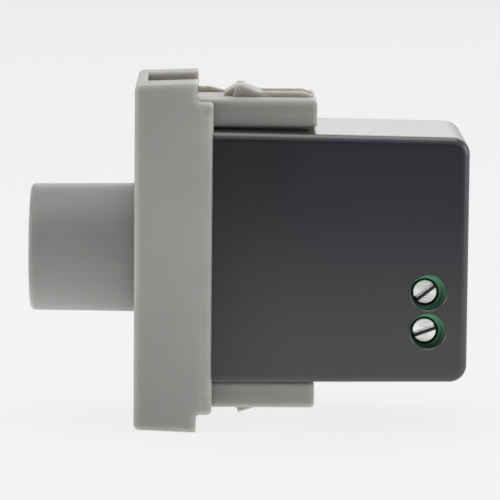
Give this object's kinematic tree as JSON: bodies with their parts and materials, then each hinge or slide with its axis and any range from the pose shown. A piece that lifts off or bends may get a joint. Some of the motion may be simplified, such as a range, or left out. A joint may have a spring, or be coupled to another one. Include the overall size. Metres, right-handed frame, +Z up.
{
  "type": "rotary dimmer module",
  "caption": "Half-width modular wall insert with a plain round push-and-turn knob, grey snap-in frame, dark rear housing and rear screw terminals.",
  "frame": {"origin": "centre of the mounting plane, the step face at the back of the front plate", "axes": "+Y back into the wall, -Y the front with the knob, +Z up with the sprung latch, +X the side with the terminal screws"},
  "size_m": [0.0226, 0.0563, 0.045],
  "materials": {
    "frame_grey": "fine matt moulded grey",
    "knob_grey": "satin moulded grey",
    "housing_dark": "fine spark-eroded dark grey",
    "terminal_green": "satin moulded green",
    "screw_steel": "zinc plated, scuffed",
    "steel": "turned",
    "spring_steel": "drawn",
    "nickel_brass": "nickel plated",
    "tinned_brass": "tinned",
    "copper_wire": "enamelled copper",
    "ferrite": "sintered",
    "aluminium_plate": "mill finish",
    "black_plastic": "moulded",
    "white_plastic": "moulded",
    "laminate_brown": "punched laminate",
    "board_green": "coated glass laminate",
    "capacitor_yellow": "boxed, glossy",
    "can_sleeve": "shrunk sleeve",
    "varistor_blue": "dipped"
  },
  "bodies": {
    "frame_and_housing": {"front_frame": "frame_grey", "rear_housing": "housing_dark", "pot_bushing": "nickel_brass", "lock_washer": "steel", "pot_nut": "nickel_brass", "pot_case": "black_plastic", "pot_track": "laminate_brown", "pot_pins": "tinned_brass", "push_switch_case": "black_plastic", "return_spring": "spring_steel", "switch_pins": "tinned_brass", "circuit_board": "board_green", "terminal_block": "terminal_green", "terminal_tails": "tinned_brass", "choke_core": "ferrite", "choke_winding": "copper_wire", "choke_leads": "tinned_brass", "film_capacitor": "capacitor_yellow", "electrolytic_capacitor": "can_sleeve", "fuse": "black_plastic", "varistor": "varistor_blue", "power_transistors": "black_plastic", "heat_spreader": "aluminium_plate", "control_chip": "black_plastic", "chip_resistors": "black_plastic"},
    "plunger": {"push_plunger": "white_plastic"},
    "knob_and_shaft": {"knob": "knob_grey", "knob_grip_spring": "spring_steel", "pot_shaft": "steel"},
    "wiper": {"wiper_rotor": "black_plastic", "wiper_contact": "spring_steel"},
    "latch": {"latch_tongue": "frame_grey"},
    "upper_screw": {"terminal_screw_upper": "screw_steel"},
    "lower_screw": {"terminal_screw_lower": "screw_steel"},
    "upper_clamp": {"clamp_cage_upper": "nickel_brass"},
    "lower_clamp": {"clamp_cage_lower": "nickel_brass"}
  },
  "joints": [
    {"name": "knob_push", "type": "slide", "parent": "frame_and_housing", "child": "plunger", "axis": [0, 1, 0], "range_m": [0, 0.0008], "stiffness_N_per_m": 800, "springref_m": -0.0015, "deforming": ["return_spring"]},
    {"name": "knob_turn", "type": "hinge", "parent": "plunger", "child": "knob_and_shaft", "pos_m": [0, -0.007, 0], "axis": [0, 1, 0], "range_deg": [-150, 150]},
    {"name": "wiper_turn", "type": "hinge", "parent": "frame_and_housing", "child": "wiper", "pos_m": [0, -0.0005, 0], "axis": [0, 1, 0], "range_deg": [-150, 150]},
    {"name": "latch_flex", "type": "hinge", "parent": "frame_and_housing", "child": "latch", "pos_m": [0, 0.014, 0.0195], "axis": [1, 0, 0], "range_deg": [0, 5.5], "stiffness_Nm_per_rad": 0.005, "springref_deg": -5.73},
    {"name": "upper_clamp_rise", "type": "slide", "parent": "frame_and_housing", "child": "upper_clamp", "axis": [1, 0, 0], "range_m": [0, 0.0018]},
    {"name": "upper_screw_turn", "type": "hinge", "parent": "frame_and_housing", "child": "upper_screw", "pos_m": [0.007, 0.02935, -0.0043], "axis": [-1, 0, 0], "range_deg": [0, 1440]},
    {"name": "lower_clamp_rise", "type": "slide", "parent": "frame_and_housing", "child": "lower_clamp", "axis": [1, 0, 0], "range_m": [0, 0.0018]},
    {"name": "lower_screw_turn", "type": "hinge", "parent": "frame_and_housing", "child": "lower_screw", "pos_m": [0.007, 0.02935, -0.0093], "axis": [-1, 0, 0], "range_deg": [0, 1440]}
  ],
  "couplings": [
    {"joint": "wiper_turn", "follows": "knob_turn", "ratio": 1},
    {"joint": "upper_screw_turn", "follows": "upper_clamp_rise", "rad_per_m": 13963},
    {"joint": "lower_screw_turn", "follows": "lower_clamp_rise", "rad_per_m": 13963}
  ]
}
